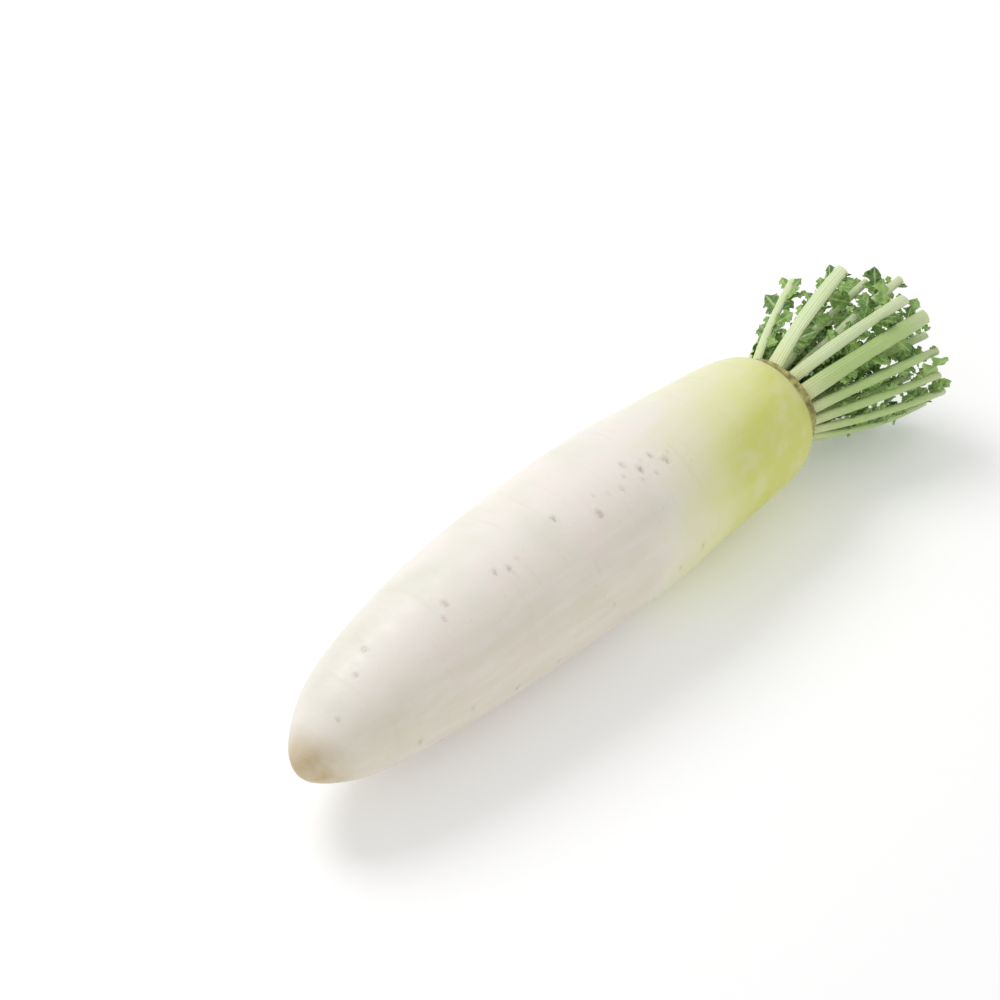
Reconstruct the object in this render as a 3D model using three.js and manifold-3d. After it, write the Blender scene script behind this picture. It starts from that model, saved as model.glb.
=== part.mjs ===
// Daikon radish lying on its belly, with the trimmed leaf stalks at its crown.
// Millimetres, +Z up. +X runs from the tip of the root to the leaf stalks.
// The origin is the centre of the flat spot the root rests on.

import * as THREE from 'three';
import Module from 'manifold-3d';

const wasm = await Module();
wasm.setup();
const { Manifold } = wasm;

// Root
const ROOT_LENGTH = 300;
const AXIS_HEIGHT = 39.0;
const REST_FROM_TIP = 182;
const BOW = 6;
const BOW_BIAS = 0.7;
const TIP_DROOP = 3.5;
const DROOP_UNTIL = 0.55;
const LUMP_2 = 0.006;
const LUMP_3 = 0.004;
const ROOT_SIDES = 40;
const RINGS_PER_SPAN = 2;

// Root outline from the tip to the shoulder: distance from the tip, radius
const ROOT_OUTLINE = [
  [0, 2.6],
  [0.9, 5.4],
  [4.5, 9.8],
  [12.5, 15.8],
  [25, 22.3],
  [43, 27.6],
  [77, 33.6],
  [118, 37.7],
  [162, 39.8],
  [201, 40],
  [234, 37.2],
  [260, 34.9],
  [279, 33.2],
  [291, 30.9],
  [297.6, 27.6],
  [300, 24.6],
];

// Collar of old leaf bases and the crown inside it: distance from the tip, radius,
// and how much it follows the collar's ragged top
const CROWN_OUTLINE = [
  [300.6, 24.4, 0],
  [301.2, 24.1, 0.1],
  [302.6, 24.4, 1],
  [302.5, 23, 1],
  [301.2, 21.2, 0.1],
  [301, 20.6, 0],
  [301, 10, 0],
];
const CROWN_X = 301;
const COLLAR_RAGGED = 0.45;
const COLLAR_RISE = 2.3;
const COLLAR_RISE_TURN = 130;

// Fan of leaf stalks: how far it opens, and how that changes round the crown
const FAN_RADIUS = 19.66;
const FAN_FLARE = 21;
const FAN_FLARE_SIDE = 13;
const FAN_SIDE_TURN = 30;
const FAN_FLARE_PAIR = 4.5;
const FAN_PAIR_TURN = 37;
const FLARE_LENGTH = 70;
const FAN_SPREAD = 0.235;
const FAN_SWIRL = 9;
const UNDERSIDE_SQUEEZE = 0.85;
const FULL_REACH = 80;

// Whorls of stalks: radius on the crown, base width, tip width, thickness
const OUTER = { radius: 17.9, base: 5.6, tip: 4.4, thickness: 4.2, leaflets: 6 };
const MIDDLE = { radius: 11.6, base: 5.1, tip: 3.9, thickness: 3.6, leaflets: 4 };
const INNER = { radius: 6.0, base: 4.5, tip: 3.5, thickness: 3.0, leaflets: 3 };
const HEART = { radius: 0.1, base: 2.8, tip: 2.4, thickness: 2.3, leaflets: 0 };

// Each stalk: its whorl, its turn round the crown in degrees and its length, then how stout
// it is, how far it leans sideways, how much of the fan's opening it takes, and its outward bow
const STALKS = [
  [OUTER, 50, 45, 1.05, -7, 1, 0],
  [OUTER, 83, 57, 1.55, -13, 1, 1],
  [OUTER, 109, 66, 1.15, 1, 1, 0],
  [OUTER, 136, 71, 1.65, -8, 1, 0],
  [OUTER, 160, 70, 0.95, -7, 1, 0],
  [OUTER, 178.5, 70, 0.9, -7, 1, 0.5],
  [OUTER, 198, 76, 1, -5, 1, 1.5],
  [OUTER, 218, 76, 1, -1, 1, 3],
  [OUTER, 238, 66, 1, 1, 1.05, 4],
  [OUTER, 258, 56, 1, 0, 1, 1],
  [OUTER, 279, 40, 1, 0, 1, 0],
  [OUTER, 301, 57, 1, 0, 1, 0],
  [OUTER, 323, 49, 1, 0, 1, 0],
  [OUTER, 346, 44, 1, 0, 0.75, 0],
  [OUTER, 16, 36, 1, 0, 0.75, 0],
  [MIDDLE, 20, 50, 1, 0, 0.8, 0],
  [MIDDLE, 50, 62, 1, 0, 1, 0],
  [MIDDLE, 77, 70, 1, -3, 1, 0],
  [MIDDLE, 106, 77, 1.1, -8, 1.4, 0],
  [MIDDLE, 137, 78, 1, 4, 1, 0],
  [MIDDLE, 167, 76, 1, 0, 1, 0],
  [MIDDLE, 197, 70, 1, 0, 1, 0],
  [MIDDLE, 227, 66, 1, 0, 1, 0],
  [MIDDLE, 258, 60, 1, 0, 1, 0],
  [MIDDLE, 289, 62, 1, 0, 1, 0],
  [MIDDLE, 320, 58, 1, 0, 1, 0],
  [MIDDLE, 350, 52, 1, 0, 0.8, 0],
  [INNER, 30, 72, 1, 0, 1, 0],
  [INNER, 82, 80, 1, 0, 1, 0],
  [INNER, 133, 76, 1, 0, 1, 0],
  [INNER, 185, 80, 1, 0, 1, 0],
  [INNER, 236, 76, 1, 0, 1, 0],
  [INNER, 288, 70, 1, 0, 1, 0],
  [INNER, 339, 66, 1, 0, 1, 0],
  [HEART, 0, 58, 1, 0, 1, 0],
];
const BASE_GAP = 0.4;
const BASE_TAPER = 8;
const GROOVE = 0.4;
const HORNS = 0.8;
const STALK_SIDES = 8;
const STALK_STEPS = 7;
const SWAY = 0.8;
const CUT_SLANT = 0.22;

// Leaflets along the stalks
const LEAFLET_FROM = 0.3;
const LEAFLET_TO = 0.95;
const LEAFLET_LENGTH = [9, 17];
const SMALLEST_LEAFLET = 3;
const LEAFLET_WIDTH = 0.4;
const LEAFLET_THICK = 0.7;
const LEAFLET_SUNK = 1.1;
const PAST_CUT = 2;
const STALK_GAP = 0.8;
const STALK_TILT = 0.85;
const LEAF_GAP = 0.6;
const LEAF_GAP_SHARE = 0.12;
const FLOOR_GAP = 0.6;
const SMALLEST_EDGE = 0.03;
// Outline of a leaflet with cut edges: share of the length, half width, up or down wave
const LEAFLET_OUTLINE = [
  [0, 0, 0],
  [0.38, 0.95, 1],
  [0.5, 0.5, -0.6],
  [0.76, 0.85, 0.8],
  [1, 0, 0],
];
const LEAFLET_FOLD = 0.25;
const LEAFLET_WAVE = 0.06;
const LEAFLET_CURL = 0.14;

const radians = (degrees) => (degrees * Math.PI) / 180;
const mix = (a, b, share) => a + (b - a) * share;

// Repeatable random draws from 0 to 1
function draws(seed) {
  let state = (seed * 7919 + 13) % 2147483647;
  return () => {
    state = (state * 16807) % 2147483647;
    return state / 2147483647;
  };
}

// Curve through named points
function curvePoint(p0, p1, p2, p3, t) {
  const along = (k) => {
    const v0 = (p2[k] - p0[k]) / 2;
    const v1 = (p3[k] - p1[k]) / 2;
    const rise = p2[k] - p1[k];
    return p1[k] + v0 * t + (3 * rise - 2 * v0 - v1) * t * t + (v0 + v1 - 2 * rise) * t ** 3;
  };
  return [along(0), along(1)];
}

function smoothOutline(points, steps) {
  const last = points.length - 1;
  const out = [];
  for (let i = 0; i < last; i += 1) {
    const before = points[Math.max(i - 1, 0)];
    const after = points[Math.min(i + 2, last)];
    for (let k = 0; k < steps; k += 1) {
      out.push(curvePoint(before, points[i], points[i + 1], after, k / steps));
    }
  }
  out.push(points[last]);
  return out;
}

// Centre line of the root and of the fan beyond it
function axisY(fromTip) {
  const bend = (u) => BOW * Math.sin(Math.PI * u ** BOW_BIAS);
  const atRest = bend(REST_FROM_TIP / ROOT_LENGTH);
  const u = fromTip / ROOT_LENGTH;
  if (u <= 1) {
    return bend(Math.max(u, 0)) - atRest;
  }
  return -BOW * Math.PI * BOW_BIAS * (u - 1) - atRest;
}

function axisZ(fromTip) {
  const left = Math.max(0, 1 - fromTip / ROOT_LENGTH / DROOP_UNTIL);
  return AXIS_HEIGHT - TIP_DROOP * left * left;
}

// Root skin
function rootPoint(fromTip, radius, turn) {
  const lumps = LUMP_2 * Math.sin(2 * turn + fromTip / 50) + LUMP_3 * Math.sin(3 * turn - fromTip / 35);
  const reach = radius * (1 + lumps);
  return new THREE.Vector3(
    fromTip - REST_FROM_TIP,
    axisY(fromTip) + reach * Math.cos(turn),
    Math.max(0, axisZ(fromTip) + reach * Math.sin(turn)),
  );
}

function collarTop(turn) {
  const facing = Math.max(0, Math.cos(turn - radians(COLLAR_RISE_TURN)));
  const ragged = Math.sin(5 * turn + 1) + 0.6 * Math.sin(7 * turn);
  return COLLAR_RISE * facing * facing + COLLAR_RAGGED * ragged;
}

function rootRings() {
  const rings = [];
  const turns = Array.from({ length: ROOT_SIDES }, (_, k) => (k * 2 * Math.PI) / ROOT_SIDES);
  for (const [fromTip, radius] of smoothOutline(ROOT_OUTLINE, RINGS_PER_SPAN)) {
    rings.push(turns.map((turn) => rootPoint(fromTip, radius, turn)));
  }
  for (const [fromTip, radius, share] of CROWN_OUTLINE) {
    rings.push(turns.map((turn) => rootPoint(fromTip + share * collarTop(turn), radius, turn)));
  }
  return rings;
}

// Closed skin through rings of points, with a centre point at each end
function skin(rings) {
  const sides = rings[0].length;
  const points = rings.flat();
  const triangles = [];
  for (let i = 0; i + 1 < rings.length; i += 1) {
    for (let k = 0; k < sides; k += 1) {
      const a = i * sides + k;
      const b = i * sides + ((k + 1) % sides);
      triangles.push([a, b + sides, b], [a, a + sides, b + sides]);
    }
  }
  const first = addCentre(points, rings[0]);
  const last = addCentre(points, rings[rings.length - 1]);
  const lastRow = (rings.length - 1) * sides;
  for (let k = 0; k < sides; k += 1) {
    const next = (k + 1) % sides;
    triangles.push([first, k, next], [last, lastRow + next, lastRow + k]);
  }
  return solid(points, triangles);
}

function addCentre(points, ring) {
  const centre = new THREE.Vector3();
  ring.forEach((point) => centre.addScaledVector(point, 1 / ring.length));
  points.push(centre);
  return points.length - 1;
}

function solid(points, triangles) {
  const vertProperties = new Float32Array(points.flatMap((p) => [p.x, p.y, p.z]));
  const forward = new Manifold(new wasm.Mesh({
    numProp: 3, vertProperties, triVerts: new Uint32Array(triangles.flat()),
  }));
  if (forward.volume() > 0) {
    return forward;
  }
  const flipped = triangles.flatMap(([a, b, c]) => [a, c, b]);
  return new Manifold(new wasm.Mesh({
    numProp: 3, vertProperties, triVerts: new Uint32Array(flipped),
  }));
}

// Centre line of a leaf stalk, at a height above the crown
function stalkTurn(stalk, height) {
  return radians(stalk.turn + FAN_SWIRL * (height / FULL_REACH));
}

function stalkCentre(stalk, height) {
  const turn = stalkTurn(stalk, height);
  const oneSide = FAN_FLARE_SIDE * Math.cos(turn - radians(FAN_SIDE_TURN));
  const bothSides = FAN_FLARE_PAIR * Math.cos(2 * (turn - radians(FAN_PAIR_TURN)));
  const flare = FAN_FLARE + oneSide + bothSides;
  const open = flare * (1 - Math.exp(-height / FLARE_LENGTH)) + FAN_SPREAD * height;
  const bow = stalk.bow * Math.sin(Math.min(height / stalk.length, 1) * Math.PI);
  const reach = stalk.radius * (1 + (stalk.opens * open) / FAN_RADIUS) + bow;
  const off = stalk.sway * (1 - Math.exp(-height / 20)) + stalk.lean * (height / FULL_REACH);
  const side = reach * Math.cos(turn) - off * Math.sin(turn);
  const rise = reach * Math.sin(turn) + off * Math.cos(turn);
  const fromTip = CROWN_X + height;
  return new THREE.Vector3(
    fromTip - REST_FROM_TIP,
    axisY(fromTip) + side,
    axisZ(fromTip) + (rise < 0 ? rise * UNDERSIDE_SQUEEZE : rise),
  );
}

function stalkDirections(stalk, height) {
  const turn = stalkTurn(stalk, height);
  const along = stalkCentre(stalk, height + 0.5).sub(stalkCentre(stalk, height - 0.5)).normalize();
  const out = new THREE.Vector3(0, Math.cos(turn), Math.sin(turn));
  const side = new THREE.Vector3(0, -Math.sin(turn), Math.cos(turn));
  return { along, out, side };
}

function stalkWidth(stalk, height) {
  const slender = mix(stalk.tip + 1.2, stalk.tip, height / FULL_REACH);
  return slender + (stalk.base - slender) * Math.exp(-height / BASE_TAPER);
}

// Cross-section with a round back and a groove on its inner side
function stalkRing(stalk, height, slant) {
  const centre = stalkCentre(stalk, height);
  const { out, side } = stalkDirections(stalk, height);
  const width = stalkWidth(stalk, height);
  return Array.from({ length: STALK_SIDES }, (_, k) => {
    const turn = (k * 2 * Math.PI) / STALK_SIDES;
    const across = (Math.cos(turn) * width) / 2;
    const inner = Math.abs(Math.cos(turn)) < 0.1 ? GROOVE : HORNS;
    const depth = ((Math.sin(turn) * stalk.thickness) / 2) * (Math.sin(turn) < -0.1 ? inner : 1);
    const point = centre.clone().addScaledVector(out, depth).addScaledVector(side, across);
    point.x += slant * across;
    return point;
  });
}

function stalkStem(stalk) {
  const rings = [];
  for (let i = 0; i <= STALK_STEPS; i += 1) {
    const share = (i / STALK_STEPS) ** 1.25;
    const height = mix(BASE_GAP, stalk.length, share);
    rings.push(stalkRing(stalk, height, i === STALK_STEPS ? stalk.slant : 0));
  }
  return skin(rings);
}

// A leaflet: where it starts, which way it points, how it is turned, how long it is
function leafletFrame(stalk, leaflet) {
  const { along, out, side } = stalkDirections(stalk, leaflet.height);
  const start = stalkCentre(stalk, leaflet.height);
  const halfWidth = stalkWidth(stalk, leaflet.height) / 2;
  start.addScaledVector(side, leaflet.hand * (halfWidth - LEAFLET_SUNK));
  start.addScaledVector(out, -0.15 * stalk.thickness);
  const sideways = side.clone().multiplyScalar(leaflet.hand * Math.cos(leaflet.tilt));
  sideways.addScaledVector(out, Math.sin(leaflet.tilt));
  const length = along.clone().multiplyScalar(Math.cos(leaflet.spread));
  length.addScaledVector(sideways, Math.sin(leaflet.spread)).normalize();
  const width = along.clone().addScaledVector(length, -along.dot(length)).normalize();
  width.applyAxisAngle(length, leaflet.roll);
  const normal = new THREE.Vector3().crossVectors(length, width);
  return { start, length, width, normal };
}

function leafletPoint(frame, size, share, half, wave, hand) {
  const lift = half * LEAFLET_FOLD * LEAFLET_WIDTH + wave * LEAFLET_WAVE - LEAFLET_CURL * share * share;
  return frame.start.clone()
    .addScaledVector(frame.length, size * share)
    .addScaledVector(frame.width, size * LEAFLET_WIDTH * half * hand)
    .addScaledVector(frame.normal, size * lift);
}

// Rows across the leaflet: a point at each end, and left edge, midrib, right edge between them
function leafletRows(frame, size) {
  return LEAFLET_OUTLINE.map(([share, half, wave]) => {
    const midrib = leafletPoint(frame, size, share, 0, 0, 0);
    if (half === 0) {
      return [midrib];
    }
    return [
      leafletPoint(frame, size, share, half, wave, -1),
      midrib,
      leafletPoint(frame, size, share, half, -wave, 1),
    ];
  });
}

function leafletSolid(frame, size) {
  const sheet = leafletRows(frame, size).flat();
  const half = frame.normal.clone().multiplyScalar(LEAFLET_THICK / 2);
  const points = [
    ...sheet.map((p) => p.clone().add(half)),
    ...sheet.map((p) => p.clone().sub(half)),
  ];
  const under = sheet.length;
  const last = under - 1;
  const face = [[0, 2, 1], [0, 3, 2], [last, last - 3, last - 2], [last, last - 2, last - 1]];
  const left = [0];
  const right = [];
  for (let a = 1; a + 3 < last; a += 3) {
    face.push([a, a + 1, a + 4], [a, a + 4, a + 3], [a + 1, a + 2, a + 4], [a + 2, a + 5, a + 4]);
  }
  for (let a = 1; a < last; a += 3) {
    left.push(a);
    right.unshift(a + 2);
  }
  const edge = [...left, last, ...right];
  const rim = edge.flatMap((a, i) => {
    const b = edge[(i + 1) % edge.length];
    return [[a, b, b + under], [a, b + under, a + under]];
  });
  const back = face.map(([a, b, c]) => [a + under, c + under, b + under]);
  return solid(points, [...face, ...back, ...rim]);
}

// Points spread over a leaflet, to measure the room it has
function outlineAt(share) {
  const next = LEAFLET_OUTLINE.findIndex((row) => row[0] >= share);
  const [start, half, wave] = LEAFLET_OUTLINE[next - 1];
  const [end, nextHalf, nextWave] = LEAFLET_OUTLINE[next];
  const step = (share - start) / (end - start);
  return [mix(half, nextHalf, step), mix(wave, nextWave, step)];
}

function leafletSamples(frame, size) {
  const samples = [];
  for (let row = 1; row <= 7; row += 1) {
    const share = row / 7;
    const [half, wave] = outlineAt(share);
    for (let hand = -1; hand <= 1; hand += 0.5) {
      const reach = Math.abs(hand) * half;
      samples.push(leafletPoint(frame, size, share, reach, -hand * wave, Math.sign(hand)));
    }
  }
  return samples;
}

// A leaflet stays clear of the floor, of the other stalks and of the leaflets placed before it
function clearOfStalk(other, point) {
  const height = point.x + REST_FROM_TIP - CROWN_X;
  if (height > other.length + STALK_GAP) {
    return true;
  }
  const above = Math.max(height, 0);
  const gap = stalkCentre(other, above).distanceTo(point) * STALK_TILT;
  return gap > stalkWidth(other, above) / 2 + STALK_GAP;
}

function clearOfLeaflet(placed, samples, size) {
  const gap = LEAF_GAP + LEAF_GAP_SHARE * (placed.size + size);
  return samples.every((a) => placed.samples.every((b) => a.distanceTo(b) > gap));
}

function hasRoom(stalk, others, grown, samples, size) {
  const highest = stalk.length + PAST_CUT + CROWN_X - REST_FROM_TIP;
  return samples.every((point) => point.z > FLOOR_GAP && point.x < highest)
    && others.every((other) => samples.every((point) => clearOfStalk(other, point)))
    && grown.every((placed) => placed.stalk === stalk || clearOfLeaflet(placed, samples, size));
}

// Shortens each leaflet until it has room, and leaves out those that never have
function growLeaflets(stalks) {
  const grown = [];
  for (const stalk of stalks) {
    const others = stalks.filter((other) => other !== stalk);
    for (const leaflet of stalk.placed) {
      const frame = leafletFrame(stalk, leaflet);
      let size = leaflet.size;
      let samples = leafletSamples(frame, size);
      while (size > SMALLEST_LEAFLET && !hasRoom(stalk, others, grown, samples, size)) {
        size *= 0.93;
        samples = leafletSamples(frame, size);
      }
      if (size > SMALLEST_LEAFLET) {
        grown.push({ stalk, frame, size, samples });
      }
    }
  }
  return grown;
}

function leafletsOf(stalk, random) {
  const leaflets = [];
  for (let i = 0; i < stalk.leaflets; i += 1) {
    const share = (i + 0.7 * random()) / stalk.leaflets;
    leaflets.push({
      height: stalk.length * mix(LEAFLET_FROM, LEAFLET_TO, share),
      hand: i % 2 === 0 ? 1 : -1,
      spread: radians(mix(30, 62, random())),
      tilt: radians(mix(-62, 12, random())),
      roll: radians(mix(-40, 40, random())),
      size: mix(LEAFLET_LENGTH[0], LEAFLET_LENGTH[1], share) * mix(0.8, 1.15, random()),
    });
  }
  return leaflets;
}

// A stalk with its leaflets grown on
function leafStalk(stalk, grown) {
  const own = grown.filter((leaflet) => leaflet.stalk === stalk);
  let whole = stalkStem(stalk);
  for (const { frame, size } of own) {
    whole = whole.add(leafletSolid(frame, size));
  }
  return whole.simplify(SMALLEST_EDGE);
}

function makeStalks() {
  return STALKS.map(([whorl, turn, length, stout, lean, opens, bow], index) => {
    const random = draws(index + 3);
    const stalk = { ...whorl, turn, length, lean, opens, bow };
    stalk.base = whorl.base * stout;
    stalk.tip = whorl.tip * stout;
    stalk.sway = SWAY * (2 * random() - 1);
    stalk.slant = CUT_SLANT * (2 * random() - 1);
    stalk.placed = leafletsOf(stalk, random);
    return stalk;
  });
}

// Named meshes
function mesh(name, whole, material) {
  const made = whole.getMesh();
  const geometry = new THREE.BufferGeometry();
  geometry.setAttribute('position', new THREE.BufferAttribute(new Float32Array(made.vertProperties), 3));
  geometry.setIndex(new THREE.BufferAttribute(new Uint32Array(made.triVerts), 1));
  geometry.computeVertexNormals();
  const node = new THREE.Mesh(geometry, material);
  node.name = name;
  return node;
}

const rootSkin = new THREE.MeshStandardMaterial({ color: 0xece6da, roughness: 0.45, metalness: 0 });
const stalkSkin = new THREE.MeshStandardMaterial({ color: 0xa9c47c, roughness: 0.5, metalness: 0 });

const group = new THREE.Group();
group.name = 'daikon_radish';
group.add(mesh('taproot', skin(rootRings()), rootSkin));
const stalks = makeStalks();
const grown = growLeaflets(stalks);
stalks.forEach((stalk, index) => {
  const name = `leaf_stalk_${String(index + 1).padStart(2, '0')}`;
  group.add(mesh(name, leafStalk(stalk, grown), stalkSkin));
});

export default group;
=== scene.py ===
# Daikon radish: how it looks. A fine skin stands for the root's solid, and a fine stem with
# crisp leaflets for each leaf stalk's solid, in the same places and by the same named sizes.
# Sizes are in millimetres and turns in degrees. Meshes are turned into metres as they are made.

import math

import bpy
import numpy as np
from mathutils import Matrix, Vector


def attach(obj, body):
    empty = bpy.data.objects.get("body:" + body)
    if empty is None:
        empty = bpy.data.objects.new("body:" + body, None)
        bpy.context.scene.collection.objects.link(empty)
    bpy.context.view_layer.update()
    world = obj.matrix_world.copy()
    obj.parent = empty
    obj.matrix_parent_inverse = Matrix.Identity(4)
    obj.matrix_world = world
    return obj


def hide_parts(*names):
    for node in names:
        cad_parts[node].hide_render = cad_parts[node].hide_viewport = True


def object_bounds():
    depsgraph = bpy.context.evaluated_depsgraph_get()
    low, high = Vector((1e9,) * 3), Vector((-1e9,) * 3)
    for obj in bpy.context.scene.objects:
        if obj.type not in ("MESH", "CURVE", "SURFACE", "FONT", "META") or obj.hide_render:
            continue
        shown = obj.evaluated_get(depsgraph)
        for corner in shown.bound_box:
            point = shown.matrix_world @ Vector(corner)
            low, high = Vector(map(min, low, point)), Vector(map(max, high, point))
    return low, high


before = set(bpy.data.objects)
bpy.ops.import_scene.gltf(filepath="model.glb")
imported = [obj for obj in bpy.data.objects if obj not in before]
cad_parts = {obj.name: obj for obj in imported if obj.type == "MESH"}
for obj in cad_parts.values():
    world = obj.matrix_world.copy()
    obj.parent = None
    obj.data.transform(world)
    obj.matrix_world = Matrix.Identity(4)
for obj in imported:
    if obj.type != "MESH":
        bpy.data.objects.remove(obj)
cad_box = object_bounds()
MM = 0.001

# Root
ROOT_LENGTH = 300
AXIS_HEIGHT = 39.0
REST_FROM_TIP = 182
BOW = 6
BOW_BIAS = 0.7
TIP_DROOP = 3.5
DROOP_UNTIL = 0.55
LUMP_2 = 0.006
LUMP_3 = 0.004
# Distance from the tip, radius
ROOT_OUTLINE = [
    (0, 2.6), (0.9, 5.4), (4.5, 9.8), (12.5, 15.8), (25, 22.3), (43, 27.6),
    (77, 33.6), (118, 37.7), (162, 39.8), (201, 40), (234, 37.2), (260, 34.9),
    (279, 33.2), (291, 30.9), (297.6, 27.6), (300, 24.6),
]
# The crown: distance from the tip, radius, share of the collar's top
CROWN_OUTLINE = [
    (300.6, 24.4, 0), (301.2, 24.1, 0.1), (302.6, 24.4, 1), (302.5, 23, 1),
    (301.2, 21.2, 0.1), (301, 20.6, 0), (301, 10, 0),
]
CROWN_X = 301
CROWN_DISC = 20
COLLAR_RAGGED = 0.45
COLLAR_RISE = 2.3
COLLAR_RISE_TURN = 130
ROOT_SIDES = 240
ROW_SPACING = 0.9
CROWN_ROW_SPACING = 0.5
SHOULDER_RIB = 0.12
COLLAR_RIB = 0.35
ROOT_SHARP = 80

# Pits where side roots grew: distance from the tip, turn in degrees, width, depth
PITS = [
    (210.5, 116, 2.6, 0.75), (206, 108, 2.2, 0.6), (197, 112, 2.8, 0.7), (192, 103, 2.4, 0.5),
    (202, 119, 1.8, 0.45), (183, 115, 2.0, 0.4), (166, 120, 2.7, 0.75), (148, 105.5, 2.4, 0.6),
    (116, 114, 2.4, 0.5), (110, 109.5, 2.2, 0.45), (84, 104, 2.6, 0.45), (79, 112, 2.0, 0.4),
    (214, 112, 1.4, 0.3), (208.5, 113.5, 1.3, 0.35), (200.5, 107, 1.4, 0.3), (194, 118, 1.6, 0.3),
    (188, 109, 1.5, 0.3), (176, 112.5, 1.4, 0.25), (170, 108, 1.3, 0.2), (122, 111, 1.4, 0.25),
    (47, 84, 2.6, 0.5), (36, 95, 2.0, 0.4), (19, 112, 1.8, 0.35),
]
FAR_PITS = 22
FAR_PIT_SEED = 71
FAR_PIT_REACH = (14, 240)
FAR_PIT_TURNS = (292, 24, 196)
FAR_PIT_SCATTER = 20
FAR_PIT_WIDTH = (1.6, 2.8)
FAR_PIT_DEPTH = (0.3, 0.65)
PIT_ALONG = 0.42
PIT_AROUND = 0.75
PIT_LIP_AT = 1.7
PIT_LIP_HEIGHT = 0.35
PIT_LIP_SHARPNESS = 2.5
SCAR_FADE = 0.8
# Faint rings: distance between two, bends in a turn, phase
RINGS = [(5.3, 2, 0.4), (8.9, 1, 2.1), (13.7, 3, 4.4), (3.1, 4, 1.2)]
RING_DEPTH = 0.02

# The shoulder's green starts later on the lit upper side, and stays paler there as a painted
# highlight
GREEN_FROM = 198
GREEN_LENGTH = 70
LIT_SIDE_TURN = 36.6
LIT_SIDE_LATER = 20
PAINTED_HIGHLIGHT_LONGER = 62
# The underside's beige tint, partly earth colour and partly painted warm reflection from below,
# and the tan stain at the tip with its skew in radians
UNDERSIDE_TURN = 200
STAIN_REACH = (1, 19)
STAIN_SKEW = 5
STAIN_SKEW_TURN = 1.0

# Fan of leaf stalks
STALK_SEED = 3
FAN_RADIUS = 19.66
FAN_FLARE = 21
FAN_FLARE_SIDE = 13
FAN_SIDE_TURN = 30
FAN_FLARE_PAIR = 4.5
FAN_PAIR_TURN = 37
FLARE_LENGTH = 70
FAN_SPREAD = 0.235
FAN_SWIRL = 9
UNDERSIDE_SQUEEZE = 0.85
FULL_REACH = 80
OUTER = {"radius": 17.9, "base": 5.6, "tip": 4.4, "thickness": 4.2, "leaflets": 6}
MIDDLE = {"radius": 11.6, "base": 5.1, "tip": 3.9, "thickness": 3.6, "leaflets": 4}
INNER = {"radius": 6.0, "base": 4.5, "tip": 3.5, "thickness": 3.0, "leaflets": 3}
HEART = {"radius": 0.1, "base": 2.8, "tip": 2.4, "thickness": 2.3, "leaflets": 0}
# Each stalk: whorl, turn in degrees, length, how stout, sideways lean, share of the fan's
# opening, outward bow
STALKS = [
    (OUTER, 50, 45, 1.05, -7, 1, 0), (OUTER, 83, 57, 1.55, -13, 1, 1),
    (OUTER, 109, 66, 1.15, 1, 1, 0), (OUTER, 136, 71, 1.65, -8, 1, 0),
    (OUTER, 160, 70, 0.95, -7, 1, 0), (OUTER, 178.5, 70, 0.9, -7, 1, 0.5),
    (OUTER, 198, 76, 1, -5, 1, 1.5), (OUTER, 218, 76, 1, -1, 1, 3),
    (OUTER, 238, 66, 1, 1, 1.05, 4), (OUTER, 258, 56, 1, 0, 1, 1),
    (OUTER, 279, 40, 1, 0, 1, 0), (OUTER, 301, 57, 1, 0, 1, 0),
    (OUTER, 323, 49, 1, 0, 1, 0), (OUTER, 346, 44, 1, 0, 0.75, 0),
    (OUTER, 16, 36, 1, 0, 0.75, 0), (MIDDLE, 20, 50, 1, 0, 0.8, 0),
    (MIDDLE, 50, 62, 1, 0, 1, 0), (MIDDLE, 77, 70, 1, -3, 1, 0),
    (MIDDLE, 106, 77, 1.1, -8, 1.4, 0), (MIDDLE, 137, 78, 1, 4, 1, 0),
    (MIDDLE, 167, 76, 1, 0, 1, 0), (MIDDLE, 197, 70, 1, 0, 1, 0),
    (MIDDLE, 227, 66, 1, 0, 1, 0), (MIDDLE, 258, 60, 1, 0, 1, 0),
    (MIDDLE, 289, 62, 1, 0, 1, 0), (MIDDLE, 320, 58, 1, 0, 1, 0),
    (MIDDLE, 350, 52, 1, 0, 0.8, 0), (INNER, 30, 72, 1, 0, 1, 0),
    (INNER, 82, 80, 1, 0, 1, 0), (INNER, 133, 76, 1, 0, 1, 0),
    (INNER, 185, 80, 1, 0, 1, 0), (INNER, 236, 76, 1, 0, 1, 0),
    (INNER, 288, 70, 1, 0, 1, 0), (INNER, 339, 66, 1, 0, 1, 0),
    (HEART, 0, 58, 1, 0, 1, 0),
]
BASE_GAP = 0.4
BASE_TAPER = 8
FOOT_WIDER = 1.2
GROOVE = 0.4
HORNS = 0.8
SWAY = 0.8
SWAY_LENGTH = 20
CUT_SLANT = 0.22
STEM_SIDES = 32
STEM_STEPS = 44
STEM_CROWDING = 1.25
STALK_SHARP = 60
RIBS = 9
RIB_DEPTH = 0.08
STEM_SWELL = 0.03
CUT_RIM = 0.985
# The dished cut: share of the stem's width, depth
CUT_PROFILE = [(0.9, 0.02), (0.8, 0.22), (0.62, 0.3), (0.42, 0.4), (0.3, 0.9), (0.14, 1.3)]
STEM_SLOT = 0
CUT_SLOT = 1
LEAF_SLOT = 2

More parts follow.
